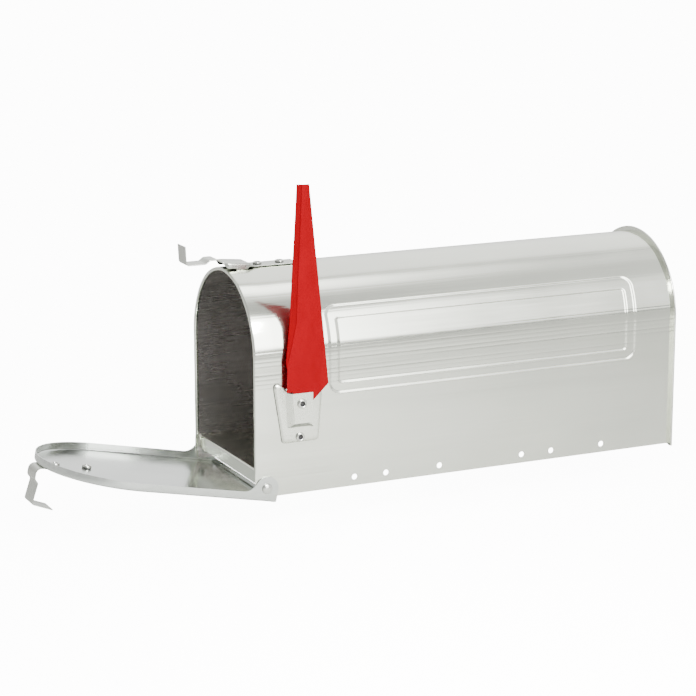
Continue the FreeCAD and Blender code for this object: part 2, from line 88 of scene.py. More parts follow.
# details of the sheet metal: the rolled lines' pitch, half width and depth, the front bead's diameter,
# and the side panels, with each step's inset, extra inset at its head and corner radius
LINE_PITCH = 4.4 * MM
LINE_HALF = 1.2 * MM
LINE_DEPTH = 0.11 * MM
BEAD = 4 * MM
PANEL_FRONT, PANEL_REAR = FRONT + 80 * MM, FRONT + 433 * MM
PANEL_FOOT, PANEL_HEAD = 97 * MM, 186.5 * MM
PANEL_STEPS = ((0, 0, 12 * MM), (10 * MM, 13 * MM, 4 * MM))
STEP_WIDTH, STEP_DEPTH = 1.8 * MM, 0.75 * MM
SCREW_PLACES = (107.5 * MM, 142.5 * MM, 203 * MM, 298.5 * MM, 333.5 * MM, 394 * MM)
SCREW_RADIUS = 3 * MM
WAVES = ((14, 0.016), (19, 0.022), (27, 0.03), (38, 0.07), (50, 0.15), (75, 0.10))  # length, height in mm


# ---------------------------------------------------------------- mesh helpers
def grid_faces(rows, columns, wrap=False):
    """Quads between neighbouring points of a grid that is numbered row by row."""
    last = columns if wrap else columns - 1
    return [(row * columns + column, (row + 1) * columns + column,
             (row + 1) * columns + (column + 1) % columns, row * columns + (column + 1) % columns)
            for row in range(rows - 1) for column in range(last)]


def tube_mesh(rings):
    """A closed solid through rings of points, all with the same count, and flat ends."""
    rows, columns = rings.shape[:2]
    faces = grid_faces(rows, columns, wrap=True)
    faces.append(tuple(range(columns)))
    faces.append(tuple(range((rows - 1) * columns, rows * columns)))
    return rings.reshape(-1, 3), faces


def merged(*parts):
    """Several (points, faces) shapes as one."""
    points, faces, count = [], [], 0
    for part_points, part_faces in parts:
        points.append(np.asarray(part_points, float).reshape(-1, 3))
        faces += [tuple(count + index for index in face) for face in part_faces]
        count += len(points[-1])
    return np.concatenate(points), faces


def new_object(name, shape, weld=0.0):
    """A mesh object from (points, faces), its points welded where asked and its faces turned outwards."""
    mesh = bpy.data.meshes.new(name)
    points, faces = shape
    mesh.from_pydata([tuple(point) for point in points], [], faces)
    work = bmesh.new()
    work.from_mesh(mesh)
    if weld:
        bmesh.ops.remove_doubles(work, verts=work.verts, dist=weld)
        bmesh.ops.dissolve_degenerate(work, edges=work.edges, dist=weld)
    bmesh.ops.recalc_face_normals(work, faces=work.faces)
    work.to_mesh(mesh)
    work.free()
    item = bpy.data.objects.new(name, mesh)
    bpy.context.scene.collection.objects.link(item)
    return item


def open_middle(item):
    """Remove the doubled faces on the plane x = 0, where the two halves of a sheet meet."""
    work = bmesh.new()
    work.from_mesh(item.data)
    near = 0.02 * MM
    doubled = [face for face in work.faces if all(abs(corner.co.x) < near for corner in face.verts)]
    bmesh.ops.delete(work, geom=doubled, context="FACES_ONLY")
    work.to_mesh(item.data)
    work.free()


def carve(item, cutters):
    """Cut closed shapes, which don't touch each other, out of a piece."""
    tool = new_object(item.name + "_cutter", merged(*cutters))
    modifier = item.modifiers.new("carve", "BOOLEAN")
    modifier.object = tool
    modifier.solver = "EXACT"
    mesh = bpy.data.meshes.new_from_object(item.evaluated_get(bpy.context.evaluated_depsgraph_get()))
    item.modifiers.clear()
    item.data = mesh
    bpy.data.objects.remove(tool)


def finish_piece(item, material, body, slot, *nodes, angle=35):
    """Shade a piece, give it its material, tie it to its body, and hide the nodes it stands for."""
    item.data.materials.clear()
    item.data.materials.append(material)
    item.data.shade_smooth()
    item.data.set_sharp_from_angle(angle=math.radians(angle))
    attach(item, body)
    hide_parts(*nodes)


def turned(profile, place, direction, segments=32):
    """Rings of points about an axis, one for each (radius, height), and the faces between them."""
    direction = Vector(direction).normalized()
    side = direction.orthogonal().normalized()
    other = direction.cross(side)
    angles = np.linspace(0, 2 * math.pi, segments, endpoint=False)
    rings = []
    for radius, height in profile:
        rings.append([Vector(place) + direction * height
                      + (side * math.cos(angle) + other * math.sin(angle)) * radius for angle in angles])
    return np.array(rings), grid_faces(len(profile), segments, wrap=True)


def rod(place, direction, radius, length, segments=32):
    """A plain cylinder, as a cutter."""
    return tube_mesh(turned([(radius, 0), (radius, length)], place, direction, segments)[0])


def bent_path(points, radii, steps=7):
    """The points of a 2-D path of straight runs joined by arcs."""
    path = [Vector(points[0])]
    for index in range(1, len(points) - 1):
        corner = Vector(points[index])
        back = (Vector(points[index - 1]) - corner).normalized()
        ahead = (Vector(points[index + 1]) - corner).normalized()
        half = back.angle(ahead) / 2
        radius = radii[index - 1]
        reach = radius / math.tan(half)
        centre = corner + (back + ahead).normalized() * (radius / math.sin(half))
        start = corner + back * reach - centre
        turn = (corner + ahead * reach - centre).angle(start)
        way = 1 if start.y * back.x - start.x * back.y > 0 else -1
        for step in range(steps + 1):
            angle = way * turn * step / steps
            path.append(centre + Vector((start.x * math.cos(angle) - start.y * math.sin(angle),
                                         start.x * math.sin(angle) + start.y * math.cos(angle))))
    path.append(Vector(points[-1]))
    return path


def path_directions(path):
    """The mean direction of the two runs that meet at each point of a path."""
    runs = [(path[i + 1] - path[i]).normalized() for i in range(len(path) - 1)]
    return [runs[0]] + [(runs[i] + runs[i + 1]).normalized() for i in range(len(runs) - 1)] + [runs[-1]]


def ribbon(path, width, thickness, place, drop=None):
    """A strap along a 2-D path, with softened edges and, where asked, turned-down sides.

    width and drop are numbers or functions of the path's point; place maps (x, y, z) to the row frame.
    """
    soft = thickness * 0.3
    rings = []
    for point, way in zip(path, path_directions(path)):
        half = (width(point) if callable(width) else width) / 2
        deep = drop(point) if drop else 0.0
        up = Vector((-way.y, way.x))
        top, low = thickness / 2, -thickness / 2
        bend = soft + min(deep, 1.5 * MM)
        arc = [(half - bend + bend * math.sin(a), top - bend + bend * math.cos(a))
               for a in np.linspace(0, math.pi / 2, 5)]
        wall = [(half, low - deep + soft), (half - soft, low - deep), (half - thickness, low - deep),
                (half - thickness - 0.2 * soft, low)]
        right = arc + wall
        loop = right + [(-x, n) for x, n in reversed(right)]
        rings.append([place(x, *(point + up * n)) for x, n in loop])
    return tube_mesh(np.array(rings))


def in_box(x, y, z):
    """A point of the box, which stays where it is."""
    return Vector((x, y, z))


def in_door(x, y, z):
    """A point given about the hinge with the door shut, moved to the open door."""
    return HINGE + DOOR_TURN @ Vector((x, y, z))


def smooth(value):
    """0 below 0, 1 above 1, and a soft step between."""
    value = np.clip(value, 0, 1)
    return value * value * (3 - 2 * value)


def arch_path(run, radius, foot, axis):
    """Points and outward directions round an arch, by the distance run from its right foot."""
    leg = axis - foot
    bow = math.pi * radius
    turn = np.clip((run - leg) / radius, 0, math.pi)
    outward = np.stack([np.cos(turn), np.zeros_like(turn), np.sin(turn)], -1)
    points = outward * radius
    points[:, 2] += axis + np.minimum(run - leg, 0) + np.minimum(leg + bow - run, 0)
    return points, outward


def thinned(values, gap):
    """Sorted values with those closer than a gap to the one before left out."""
    kept = []
    for value in sorted(values):
        if not kept or value - kept[-1] > gap:
            kept.append(value)
    return np.array(kept)


# ---------------------------------------------------------------- materials
def node_maker(owner):
    """A function that adds a node to a material or world, with values or links for its inputs."""
    tree = owner.node_tree

    def add(kind, **inputs):
        node = tree.nodes.new("ShaderNode" + kind)
        for name, value in inputs.items():
            socket = node.inputs[name.replace("_", " ")]
            if isinstance(value, bpy.types.NodeSocket):
                tree.links.new(value, socket)
            else:
                socket.default_value = value
        return node
    return add


def stretched_noise(add, scale, detail=3.0, roughness=0.5):
    """Noise on the object's own coordinates, with its own scale along each axis."""
    where = add("TexCoord").outputs["Object"]
    mapped = add("Mapping", Vector=where)
    mapped.inputs["Scale"].default_value = scale
    noise = add("TexNoise", Vector=mapped.outputs["Vector"], Scale=1.0, Detail=detail, Roughness=roughness)
    return noise.outputs["Fac"]


def ranged(add, value, low, high, start=0.3, end=0.7):
    """A value moved from the range start to end, into the range low to high."""
    node = add("MapRange", Value=value)
    node.inputs["From Min"].default_value = start
    node.inputs["From Max"].default_value = end
    node.inputs["To Min"].default_value = low
    node.inputs["To Max"].default_value = high
    return node.outputs["Result"]


def mixed(add, factor, first, second, how="MIX"):
    """Two colours mixed by a factor; each of the three is a value or a link."""
    node = add("Mix")
    node.data_type = "RGBA"
    node.blend_type = how
    for value, socket in ((factor, node.inputs[0]), (first, node.inputs[6]), (second, node.inputs[7])):
        if isinstance(value, bpy.types.NodeSocket):
            node.id_data.links.new(value, socket)
        else:
            socket.default_value = value
    return node.outputs[2]


GRAIN = (1500, 1500, 1500)
CLOUDS = (14, 9, 14)
SOFT_WAVES = (22, 7, 22)


def metal(name, dark, light, roughness, brushing, brush_depth, wave_depth, grain_depth, metallic=1.0):
    """Bare metal with brushing along one way, soft waves, fine grain and uneven sheen. Depths are in mm."""
    material = bpy.data.materials.new(name)
    material.use_nodes = True
    add = node_maker(material)
    shader = material.node_tree.nodes["Principled BSDF"]
    shader.inputs["Metallic"].default_value = metallic
    streaks = stretched_noise(add, brushing, 4.0, 0.6)
    clouds = stretched_noise(add, CLOUDS, 3.0, 0.55)
    grains = stretched_noise(add, GRAIN, 2.0, 0.6)
    tone = add("Math", Value=streaks)
    tone.operation = "ADD"
    material.node_tree.links.new(clouds, tone.inputs[1])
    link = material.node_tree.links.new
    shade = ranged(add, tone.outputs[0], 0.0, 1.0, 0.7, 1.3)
    link(mixed(add, shade, (*dark, 1), (*light, 1)), shader.inputs["Base Color"])
    uneven = add("Math", Value=ranged(add, clouds, roughness * 0.8, roughness * 1.2))
    uneven.operation = "ADD"
    link(ranged(add, streaks, -0.03, 0.03), uneven.inputs[1])
    link(uneven.outputs[0], shader.inputs["Roughness"])
    normal = None
    waves = stretched_noise(add, SOFT_WAVES, 1.0)
    for height, depth in ((waves, wave_depth), (streaks, brush_depth), (grains, grain_depth)):
        bump = add("Bump", Height=height, Strength=1.0, Distance=depth * MM)
        if normal:
            link(normal, bump.inputs["Normal"])
        normal = bump.outputs["Normal"]
    link(normal, shader.inputs["Normal"])
    return material


def enamel():
    """Gloss red paint on the flag, a little uneven."""
    material = bpy.data.materials.new("red_enamel")
    material.use_nodes = True
    add = node_maker(material)
    link = material.node_tree.links.new
    shader = material.node_tree.nodes["Principled BSDF"]
    shader.inputs["Specular IOR Level"].default_value = 0.02
    shader.inputs["Coat Weight"].default_value = 0.04
    shader.inputs["Coat Roughness"].default_value = 0.12
    cloud = stretched_noise(add, (60, 60, 25), 3.0, 0.55)
    shade = ranged(add, cloud, 0.0, 1.0)
    link(mixed(add, shade, (0.185, 0.0002, 0.003, 1), (0.22, 0.0003, 0.004, 1)), shader.inputs["Base Color"])
    link(ranged(add, cloud, 0.30, 0.38), shader.inputs["Roughness"])
    peel = stretched_noise(add, (420, 420, 420), 2.0)
    bump = add("Bump", Height=peel, Strength=1.0, Distance=0.012 * MM)
    link(bump.outputs["Normal"], shader.inputs["Normal"])
    return material


# name, darker and lighter colour, roughness, brushing's scale, and the depths of brushing, waves and grain
EVEN = (500, 500, 500)
BRIGHT = metal("bright_aluminium", (0.765, 0.79, 0.70), (0.84, 0.865, 0.765), 0.15, (900, 9, 900),
               0.012, 0.16, 0.002)
INSIDE = metal("inner_aluminium", (0.60, 0.57, 0.55), (0.70, 0.665, 0.645), 0.26, (500, 3, 500),
               0.0015, 0.06, 0.001, metallic=0.85)
DOOR_METAL = metal("door_aluminium", (0.60, 0.63, 0.60), (0.68, 0.71, 0.675), 0.20, (260, 40, 260),
                   0.006, 0.20, 0.002)
SATIN = metal("satin_aluminium", (0.78, 0.805, 0.71), (0.86, 0.885, 0.78), 0.28, EVEN, 0.01, 0.05, 0.004)
STRAP_METAL = metal("strap_steel", (0.52, 0.54, 0.49), (0.63, 0.65, 0.59), 0.28, (1100, 60, 60),
                    0.012, 0.05, 0.004)
RIVET_METAL = metal("rivet_metal", (0.55, 0.565, 0.52), (0.74, 0.755, 0.70), 0.18, (600, 600, 600),
                    0.01, 0.02, 0.004)
# painted shade: near-black metal on the bracket tray's edge, standing in for the contact shadow round it
PAINTED_EDGE_SHADE = metal("painted_edge_shade", (0.12, 0.125, 0.115), (0.20, 0.205, 0.19), 0.35, EVEN, 0.01, 0.02, 0.004)
# painted shade: a darker satin on the downward facet at the pocket's foot
PAINTED_FOOT_SHADE = metal("painted_shade_aluminium", (0.30, 0.31, 0.285), (0.40, 0.41, 0.38), 0.35, EVEN, 0.01, 0.02, 0.004)
# painted shade: near-black, unlit matter in the rivets' bores and as a contact shadow round their heads'
# feet
PAINTED_RIVET_SHADE = metal("rivet_painted_shade", (0.012, 0.012, 0.012), (0.035, 0.035, 0.035), 0.55, (900, 900, 900),
               0.02, 0.02, 0.004, metallic=0.0)
RED = enamel()


# ---------------------------------------------------------------- body shell
def rolled_lines(run, along, height):
    """The shallow lines that the rolling leaves along the sheet: deepest below the arch and at the foot."""
    away = np.abs((run + LINE_PITCH / 2) % LINE_PITCH - LINE_PITCH / 2)
    line = np.round(run / LINE_PITCH)
    slow, slower = np.sin(line * 2.4 + along / (90 * MM)), np.sin(line * 5.1 - along / (160 * MM))
    fade = (0.5 + 0.3 * slow + 0.2 * slower) ** 1.5
    shoulder = np.exp(-((height - 128 * MM) / (20 * MM)) ** 2)
    foot = 0.8 * np.exp(-(height / (58 * MM)) ** 2) * (1 - 0.6 * smooth((along - FRONT) / (200 * MM)))
    return -LINE_DEPTH * fade * (0.25 + 1.3 * shoulder + foot) * (1 - smooth(away / LINE_HALF))


def sheet_waves(run, along):
    """Slight waves, long along the body and short around it."""
    chance = np.random.default_rng(7)
    height = np.zeros(np.broadcast(run, along).shape)
    for length, size in WAVES:
        phase, drift, shift = chance.uniform(0, 2 * math.pi, 3)
        wander = chance.uniform(0.10, 0.35)
        around = run / (length * MM) * 2 * math.pi + phase + 0.8 * np.sin(along / wander + drift)
        height += size * MM * np.sin(around) * (0.6 + 0.4 * np.sin(along / (wander * 0.7) + shift))
    return height


def panel_press(run, along):
    """The depth of the pressed side panel: two round-cornered steps with a flat land between them."""
    depth = 0
    for inset, head_inset, corner in PANEL_STEPS:
        front, rear = PANEL_FRONT + inset, PANEL_REAR - inset
        foot, head = PANEL_FOOT + inset, PANEL_HEAD - head_inset
        side = np.abs(along - (front + rear) / 2) - (rear - front) / 2 + corner
        up = np.abs(run - (foot + head) / 2) - (head - foot) / 2 + corner
        past = np.hypot(np.maximum(side, 0), np.maximum(up, 0)) + np.minimum(np.maximum(side, up), 0)
        inside = corner - past
        depth = depth - STEP_DEPTH * smooth(inside / STEP_WIDTH)
    return depth


def shell_runs(total):
    """Stations round the section: seven on each rolled line, one between, and more at the panels."""
    runs = [0, total]
    for index in range(int(total / LINE_PITCH) + 1):
        runs += [index * LINE_PITCH + offset * LINE_HALF for offset in (-1, -0.6, -0.25, 0, 0.25, 0.6, 1)]
        runs.append((index + 0.5) * LINE_PITCH)
    for edge in (PANEL_FOOT, PANEL_HEAD):
        inward = 1 if edge == PANEL_FOOT else -1
        zone = [edge + inward * step * 0.9 * MM for step in range(-1, 18)]
        runs += zone + [total - place for place in zone]
    runs = [run for run in runs if 0 <= run <= total]
    return thinned(runs, 0.12 * MM)


def shell_rows():
    """Stations along the body, closer together at the ends of the panels."""
    rear = SEAM_REAR - 2 * SHEET
    rows = list(np.linspace(FRONT + BEAD / 2, rear, 25))
    for edge, inward in ((PANEL_FRONT, 1), (PANEL_REAR, -1)):
        rows += [edge + inward * step * 1.0 * MM for step in range(-1, 15)]
    return thinned(rows, 0.4 * MM)


def shell_solid():
    """The shell in one sheet: rear flange, outside, curled front bead, and inside back to the flange."""
    leg = AXIS - SKIRT
    total = 2 * leg + math.pi * RADIUS
    runs = shell_runs(total)
    points, outward = arch_path(runs, RADIUS, SKIRT, AXIS)
    rows = shell_rows()[::-1]
    inner_rows = rows[::-1][1:]
    height = np.minimum(runs, total - runs)
    bead = 0.2 + 0.8 * smooth((height - 20 * MM) / (8 * MM))
    curl = np.linspace(0, 1.36 * math.pi, 12)[1:]
    mirrored = height[:, None]

    def skin(along):
        """How far the sheet stands off its plain shape."""
        around, along = runs[:, None], along[None, :]
        lines = rolled_lines(around, along, mirrored)
        return lines + sheet_waves(around, along) + panel_press(mirrored, along)

    flange = SEAM_RADIUS - RADIUS - SHEET
    rear = SEAM_REAR - 2 * SHEET
    along = np.concatenate([[rear], rows, FRONT + BEAD / 2 - BEAD / 2 * np.sin(curl), inner_rows,
                            [rear + SHEET, rear + SHEET]])
    front_lift = skin(rows[-1:])
    curled = front_lift - bead[:, None] * BEAD / 2 * (1 - np.cos(curl))[None, :]
    flat = np.full((len(runs), 1), flange)
    under = np.full_like(flat, -SHEET)
    lift = np.concatenate([flat, skin(rows), curled, skin(inner_rows) - SHEET, under, flat], 1)
    rings = points[:, None, :] + outward[:, None, :] * lift[:, :, None]
    rings[:, :, 1] += along[None, :]
    return tube_mesh(rings)


def hinge_corner_cutter():
    """What is cut off the lower front corners, leaving a curve about the hinge."""
    radius = HINGE.y - FRONT
    arc = [(HINGE.y - radius * math.sin(angle), HINGE.z - radius * math.cos(angle))
           for angle in np.linspace(0, math.pi / 2, 13)]
    outline = [(FRONT - BEAD, HINGE.z), (FRONT - BEAD, SKIRT - BEAD), (HINGE.y, SKIRT - BEAD)] + arc
    rings = [[(side * 2 * RADIUS, y, z) for y, z in outline] for side in (-1, 1)]
    return tube_mesh(np.array(rings))


def body_shell():
    """The shell with its screw holes and rounded corners; its inner faces are duller."""
    item = new_object("shell", shell_solid())
    across = 2 * RADIUS + 40 * MM
    cutters = [hinge_corner_cutter()]
    for place in SCREW_PLACES:
        cutters.append(rod((-across / 2, FRONT + place, HINGE.z), ROUND_X, SCREW_RADIUS, across))
    carve(item, cutters)
    finish_piece(item, BRIGHT, "box", "bright_aluminium", "body_shell")
    item.data.materials.append(INSIDE)
    for face in item.data.polygons:
        centre = face.center
        outward = Vector((centre.x, 0, max(centre.z - AXIS, 0)))
        behind_bead = centre.y > FRONT + BEAD
        if behind_bead and outward.length < RADIUS - SHEET / 2 and face.normal.dot(outward) < 0:
            face.material_index = 1


# ---------------------------------------------------------------- floor and back
def floor_pan():
    """The raised floor with its front lip, and a flange down each side."""
    low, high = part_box("floor_pan")
    half = SHEET / 2
    deck = bent_path([(high.y, high.z - half), (low.y + half, high.z - half), (low.y + half, low.z)],
                     [2 * MM])
    shapes = [ribbon(deck[::-1], high.x - low.x, SHEET, in_box)]
    middle = (low.y + high.y) / 2 + 9 * MM

    def along_body(x, across, up):
        return Vector((across, middle + x, up))

    for side in (-1, 1):
        edge = side * (high.x - half)
        flange = [Vector((edge, low.z + 2 * MM)), Vector((edge, high.z - SHEET * 1.1))]
        shapes.append(ribbon(flange, high.y - low.y - 20 * MM, SHEET, along_body))
    finish_piece(new_object("pan", merged(*shapes)), BRIGHT, "box", "bright_aluminium", "floor_pan")


def back_panel():
    """The flat back with its edge folded forwards over the shell's flange, as a round-nosed seam."""
    foot = SKIRT - 2 * MM
    runs = np.concatenate([np.linspace(0, AXIS - foot, 6)[:-1],
                           AXIS - foot + np.linspace(0, math.pi, 65) * SEAM_RADIUS,
                           AXIS - foot + math.pi * SEAM_RADIUS + np.linspace(0, AXIS - foot, 6)[1:]])
    points, outward = arch_path(runs, SEAM_RADIUS, foot, AXIS)
    lap = 3 * SHEET
    nose = lap / 2
    height = SEAM_RADIUS - RADIUS
    arc = [(nose * (1 - math.sin(angle)), SEAM_REAR - nose + nose * math.cos(angle))
           for angle in np.linspace(0, math.pi, 9)]
    sunk = 0.3 * MM
    seam = [(SEAM_RADIUS * share, SEAM_REAR - sunk) for share in (1, 0.7, 0.4, 0.13)]
    seam += [(height + 1.2 * MM, SEAM_REAR - sunk), (height + 0.4 * MM, SEAM_REAR)] + arc
    seam += [(height, SEAM_REAR - lap), (height + 0.1 * MM, SEAM_REAR - SHEET),
             (SEAM_RADIUS, SEAM_REAR - SHEET - sunk)]
    inset = np.array([point[0] for point in seam])
    along = np.array([point[1] for point in seam])
    rings = points[:, None, :] - outward[:, None, :] * inset[None, :, None]
    rings[:, :, 1] += along[None, :]
    item = new_object("back", tube_mesh(rings), weld=0.01 * MM)
    open_middle(item)
    finish_piece(item, BRIGHT, "box", "bright_aluminium", "back_panel", angle=50)


# ---------------------------------------------------------------- door
# sizes about the hinge: the face's front, the rim's width, the foot, the ears and the stop at the foot
DOOR_FACE = -13.1 * MM
DOOR_RIM = 8.5 * MM
DOOR_FOOT = -12.2 * MM
EAR_RADIUS = 12.2 * MM
EAR_BLEND = 14 * MM
FOOT_FLANGE = 4.7 * MM
PULL_WIDTH = 24 * MM


def rim_edge(height):
    """How far forwards the door's side wall reaches at a height: rim, hollow blend, round ear."""
    edge = DOOR_FACE + DOOR_RIM
    centre = edge + EAR_BLEND
    rise = math.sqrt((EAR_RADIUS + EAR_BLEND) ** 2 - centre ** 2)
    share = EAR_RADIUS / (EAR_RADIUS + EAR_BLEND)
    if height > rise:
        return edge
    if height > rise * share:
        return centre - math.sqrt(max(EAR_BLEND ** 2 - (height - rise) ** 2, 0))
    return math.sqrt(max(EAR_RADIUS ** 2 - height ** 2, 0))


def door_solid():
    """The tray in one sheet: from the wall's edge, round the bend and over the face to the middle."""
    leg = DOOR_AXIS - DOOR_FOOT
    bow = math.pi * DOOR_RADIUS
    near = 0.5 - 0.5 * np.cos(np.linspace(0, math.pi, 49))
    lower = np.concatenate([near * 2 * EAR_RADIUS, 2 * EAR_RADIUS + np.linspace(0, 1, 13)[1:] * 18 * MM])
    side = np.concatenate([lower, np.linspace(lower[-1], leg, 8)[1:-1]])
    top = leg + np.linspace(0, 1, 181) * bow
    runs = np.concatenate([side, top, (2 * leg + bow - side)[::-1]])
    points, outward = arch_path(runs, DOOR_RADIUS, DOOR_FOOT, DOOR_AXIS)
    bend = 2.2 * MM
    turn = np.linspace(0, math.pi / 2, 7)
    across = bend + (DOOR_RADIUS - bend) * np.linspace(0, 1, 15)[1:]
    insets = np.concatenate([bend * (1 - np.cos(turn)), across])
    depths = np.concatenate([DOOR_FACE + bend * (1 - np.sin(turn)), np.full(len(across), DOOR_FACE)])
    bow_share = np.clip((runs - leg) / bow, 0, 1)
    ripple = 0.10 * np.sin(bow_share * 46) + 0.11 * np.sin(bow_share * 171 + 2 * np.sin(bow_share * 31))
    crimp = ripple * MM * np.sin(bow_share * math.pi) ** 2  # the bent rim's slight waves
    inner_bend = bend - SHEET
    inner_turn = [(SHEET + inner_bend * (1 - math.cos(angle)),
                   DOOR_FACE + SHEET + inner_bend * (1 - math.sin(angle))) for angle in turn]
    rings = []
    for index, run in enumerate(runs):
        edge = rim_edge(points[index][2])
        wall = [edge + (DOOR_FACE + bend - edge) * share for share in (0, 0.12, 0.5)]
        outside = [(crimp[index] * (1 - n / 3), y) for n, y in enumerate(wall)]
        outside += list(zip(insets, depths))
        inside = [(SHEET + crimp[index] * (1 - n / 3), y) for n, y in enumerate(wall)]
        inside += inner_turn + [(inset, DOOR_FACE + SHEET) for inset in across]
        loop = outside + inside[::-1]
        ring = []
        for inset, depth in loop:
            place = Vector(points[index]) - Vector(outward[index]) * min(inset, DOOR_RADIUS)
            dish = 0.25 * MM * math.sin(min(inset / DOOR_RADIUS, 1) * math.pi) if inset > bend else 0
            ring.append(in_door(place.x, depth - dish, place.z))
        rings.append(ring)
    return tube_mesh(np.array(rings))


def foot_flange():
    """The flange turned in along the door's foot, which stops the open door against the skirts."""
    middle, low = DOOR_FACE + SHEET / 2, DOOR_FOOT + SHEET / 2
    path = bent_path([(middle, DOOR_FOOT + 5 * MM), (middle, low), (DOOR_FACE + FOOT_FLANGE, low)],
                     [1.6 * MM])
    return ribbon(path, 2 * (DOOR_RADIUS - SHEET), SHEET, in_door)


def door_panel():
    """The arched tray with its pin holes and the flange at its foot."""
    item = new_object("door", door_solid(), weld=0.01 * MM)
    open_middle(item)
    across = 2 * DOOR_RADIUS + 20 * MM
    carve(item, [rod((-across / 2, HINGE.y, HINGE.z), ROUND_X, PIN_BORE, across)])
    flange = new_object("flange", foot_flange())
    work = bmesh.new()
    work.from_mesh(item.data)
    work.from_mesh(flange.data)
    work.to_mesh(item.data)
    work.free()
    bpy.data.objects.remove(flange)
    finish_piece(item, DOOR_METAL, "door", "bright_aluminium", "door_panel")


def door_pull():
    """The strap on the door's outside: a hump at the top, an arm and a finger lip."""
    middle = DOOR_FACE - STRAP / 2
    arm, hump = 209.6 * MM, 213.4 * MM
    points = [(middle, 148 * MM), (middle, hump), (middle - 11.5 * MM, hump), (middle - 15 * MM, arm),
              (-50 * MM, arm + 2.6 * MM), (-54 * MM, arm - 19.4 * MM)]
    path = bent_path(points, [6 * MM, 4.5 * MM, 3 * MM, 2.5 * MM])
    item = new_object("pull", ribbon(path, PULL_WIDTH, STRAP, in_door))
    finish_piece(item, STRAP_METAL, "door", "strap_steel", "door_pull")


# ---------------------------------------------------------------- body catch
WING_GAP = 0.9 * MM  # over the roof at the front, where the door's rim passes
WING_SPREAD = 6.4 * MM


def body_catch():
    """The leaf on the roof; its sides turn down over the box's front and fade out to the flat tail."""
    low = CROWN + STRAP / 2
    high = low + 6.4 * MM
    brow = high - 2.6 * MM
    bump = high + 3.4 * MM
    reach = FRONT - 41 * MM
    points = [(reach - 1 * MM, high + 19 * MM), (reach, high), (FRONT - 20.5 * MM, high),
              (FRONT - 16 * MM, bump), (FRONT - 8 * MM, bump), (FRONT - 3 * MM, high),
              (FRONT + 25 * MM, brow), (FRONT + 31 * MM, low), (FRONT + 78 * MM, low)]
    path = bent_path(points, [3.5 * MM, 4 * MM, 5 * MM, 5 * MM, 4 * MM, 3 * MM, 3 * MM])
    filled = []
    for start, end in zip(path, path[1:]):
        pieces = max(1, round((end - start).length / (2 * MM)))
        filled += [start.lerp(end, step / pieces) for step in range(pieces)]
    filled.append(path[-1])

    def wing(point):
        """How far the sides are turned down, from 0 to 1."""
        back = point.x - FRONT
        return float(smooth((back + 3 * MM) / (6 * MM)) * (1 - smooth((back - 20 * MM) / (16 * MM))))

    def width(point):
        return STRAP_WIDTH + WING_SPREAD * wing(point)

    def drop(point):
        foot = CROWN + WING_GAP - 2 * WING_GAP * smooth((point.x - FRONT - 9 * MM) / (3 * MM))
        return max(point.y - STRAP / 2 - foot, 0) * wing(point)

    item = new_object("catch", ribbon(filled, width, STRAP, in_box, drop))
    finish_piece(item, STRAP_METAL, "box", "strap_steel", "body_catch", angle=40)


# ---------------------------------------------------------------- flag
# heights above the pivot and places behind it
FOLD_FOOT, FOLD_KNEE, FLAG_TOP = 36 * MM, 80 * MM, 215.5 * MM
SHOULDER_BACK, SHOULDER_HEIGHT = 29 * MM, 17.6 * MM
TAPER = 20 * MM
FOLD_ANGLE = math.radians(35)


def fold_line(height):
    """Where the blade folds at a height above the pivot, and how wide the folded strip is there."""
    heights = (FOLD_FOOT, FOLD_KNEE, FLAG_TOP)
    place = float(np.interp(height, heights, (-14.9, -4.8, 1.8)))
    widths = (FOLD_FOOT, FOLD_FOOT + 6 * MM, FOLD_KNEE, FLAG_TOP)
    reach = float(np.interp(height, widths, (0.2, 2.2, 6.6, 5.2)))
    return place * MM, reach * MM


def rear_edge(height, top):
    """How far behind the pivot the blade's rear edge is at a height."""
    return SHOULDER_BACK - TAPER * (height - SHOULDER_HEIGHT) / (top - SHOULDER_HEIGHT)


def folded_blade(foot, top):
    """The blade above its foot: a flat face and a narrow strip along its front, turned in to the box."""
    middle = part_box("flag")[1].x - SHEET / 2
    strip = Vector((-math.sin(FOLD_ANGLE), -math.cos(FOLD_ANGLE)))
    rings = []
    for height in np.concatenate([np.linspace(foot, FOLD_KNEE, 16), np.linspace(FOLD_KNEE, top, 20)[1:]]):
        fold, reach = fold_line(height)
        rear = rear_edge(height, top)
        face = 0.22 * MM * math.sin((height - foot) / (top - foot) * math.pi * 3)
        corner = Vector((middle + face, fold))
        end = corner + strip * reach
        bend = min(0.18 * MM, reach * 0.225)
        step = Vector((-min(0.9 * MM, reach * 0.3), -min(0.5 * MM, reach * 0.2)))
        route = [(middle + face, rear), tuple(corner), tuple(corner + step), tuple(end + step * 0.5)]
        path = bent_path(route, [bend, bend], 3)
        path = [Vector((middle, rear)), Vector((middle + face, (rear + fold) / 2))] + path[1:]
        sides = [(point, Vector((-way.y, way.x)) * SHEET / 2)
                 for point, way in zip(path, path_directions(path))]
        loop = [point + off for point, off in sides] + [point - off for point, off in reversed(sides)]
        rings.append([(point.x, PIVOT.y + point.y, PIVOT.z + height) for point in loop])
    return tube_mesh(np.array(rings))


def flag_heel(top):
    """The flat lower blade, rounded about the pivot."""
    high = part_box("flag")[1]
    radius = 9 * MM
    outline = [(-14.9 * MM, top), (-15.5 * MM, 12 * MM), (-radius, 12 * MM)]
    outline += [(-radius * math.cos(angle), -radius * math.sin(angle)) for angle in np.linspace(0, 2.0, 12)]
    outline += [(7 * MM, -3 * MM), (SHOULDER_BACK, SHOULDER_HEIGHT), (rear_edge(top, FLAG_TOP), top)]
    rings = [[(x, PIVOT.y + y, PIVOT.z + z) for y, z in outline] for x in (high.x - SHEET, high.x)]
    return tube_mesh(np.array(rings))


def flag():
    """The blade and its heel, as one red piece."""
    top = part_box("flag")[1].z - PIVOT.z
    item = new_object("flag_blade", merged(folded_blade(FOLD_FOOT, top), flag_heel(FOLD_FOOT)))
    finish_piece(item, RED, "flag_arm", "red_enamel", "flag", angle=30)


